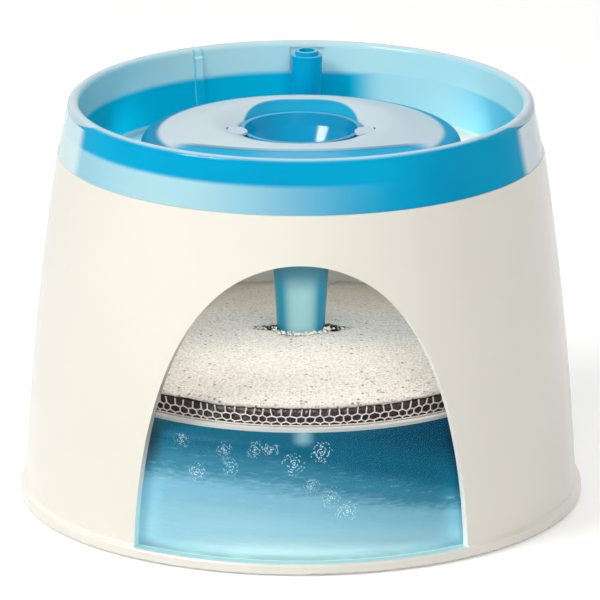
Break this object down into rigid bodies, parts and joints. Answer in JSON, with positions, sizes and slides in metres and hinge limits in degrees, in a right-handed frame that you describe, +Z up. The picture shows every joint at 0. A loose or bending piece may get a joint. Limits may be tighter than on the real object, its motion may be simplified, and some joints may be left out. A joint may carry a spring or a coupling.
{
  "type": "pet water fountain",
  "caption": "White tapered pet water fountain with an arched clear window, a blue lift-out dish and dome, a funnel over a foam and carbon filter, and a pump with a riser.",
  "frame": {"origin": "centre of the bottom of the part's bounding box, where the rubber feet stand", "axes": "+Z up, -Y towards the arched window at the front, +X to the right of someone facing the window"},
  "size_m": [0.24, 0.24, 0.1731],
  "materials": {
    "white_plastic": "gloss",
    "blue_plastic": "gloss",
    "clear_plastic": "clear, polished",
    "clear_rubber": "translucent silicone",
    "foot_rubber": "matt",
    "screw_steel": "brushed",
    "tray_plastic": "satin",
    "carbon": "activated carbon granules in a net",
    "net": "woven",
    "foam": "open-cell foam",
    "pump_plastic": "satin",
    "cover_plastic": "satin",
    "pump_rubber": "matt",
    "regulator_plastic": "gloss",
    "impeller_plastic": "satin",
    "magnet": "sintered ferrite",
    "shaft_ceramic": "ground",
    "core_steel": "laminated, varnished",
    "coil_copper": "enamelled wire",
    "riser_rubber": "translucent silicone",
    "riser_plastic": "translucent"
  },
  "bodies": {
    "tank": {"housing_shell": "white_plastic", "top_ring": "white_plastic", "shelf_bosses": "white_plastic", "base_plate": "white_plastic", "rubber_feet": "foot_rubber", "window_pane": "clear_plastic", "window_gasket": "clear_rubber", "shelf_ring": "white_plastic", "shelf_screws": "screw_steel"},
    "dish": {"drinking_dish": "blue_plastic", "standpipe": "blue_plastic"},
    "dome": {"dome": "blue_plastic"},
    "funnel": {"funnel": "blue_plastic", "funnel_seal": "clear_rubber"},
    "filter": {"filter_tray": "tray_plastic", "carbon_pad": "carbon", "filter_net": "net", "foam_pad": "foam"},
    "pump": {"pump_body": "pump_plastic", "pump_end_cap": "pump_plastic", "cable_gland": "pump_rubber", "pump_cover": "cover_plastic", "cover_screws": "screw_steel", "pump_strainer": "pump_plastic", "rear_bush": "pump_rubber", "front_bush": "pump_rubber", "impeller_shaft": "shaft_ceramic", "stator_core": "core_steel", "stator_coil": "coil_copper", "suction_cups": "pump_rubber", "riser_elbow": "riser_rubber", "riser_tube": "riser_plastic", "riser_sleeve": "riser_rubber"},
    "rotor": {"rotor_magnet": "magnet", "impeller": "impeller_plastic"},
    "regulator": {"flow_regulator": "regulator_plastic"}
  },
  "joints": [
    {"name": "dish_lift", "type": "slide", "parent": "tank", "child": "dish", "axis": [0, 0, 1], "range_m": [0, 0.24]},
    {"name": "dome_lift", "type": "slide", "parent": "dish", "child": "dome", "axis": [0, 0, 1], "range_m": [0, 0.12]},
    {"name": "funnel_lift", "type": "slide", "parent": "dome", "child": "funnel", "axis": [0, 0, 1], "range_m": [0, 0.12]},
    {"name": "filter_lift", "type": "slide", "parent": "tank", "child": "filter", "axis": [0, 0, 1], "range_m": [0, 0.18]},
    {"name": "pump_lift", "type": "slide", "parent": "tank", "child": "pump", "axis": [0, 0, 1], "range_m": [0, 0.165]},
    {"name": "impeller_spin", "type": "hinge", "parent": "pump", "child": "rotor", "pos_m": [-0.02, 0.046, 0.026], "axis": [1, 0, 0], "continuous": true},
    {"name": "regulator_turn", "type": "hinge", "parent": "pump", "child": "regulator", "pos_m": [0.02, 0.046, 0.026], "axis": [1, 0, 0], "range_deg": [0, 90]}
  ],
  "couplings": [
    {"joint": "filter_lift", "follows": "dish_lift", "ratio": 0.75},
    {"joint": "pump_lift", "follows": "dish_lift", "ratio": 0.6875}
  ]
}
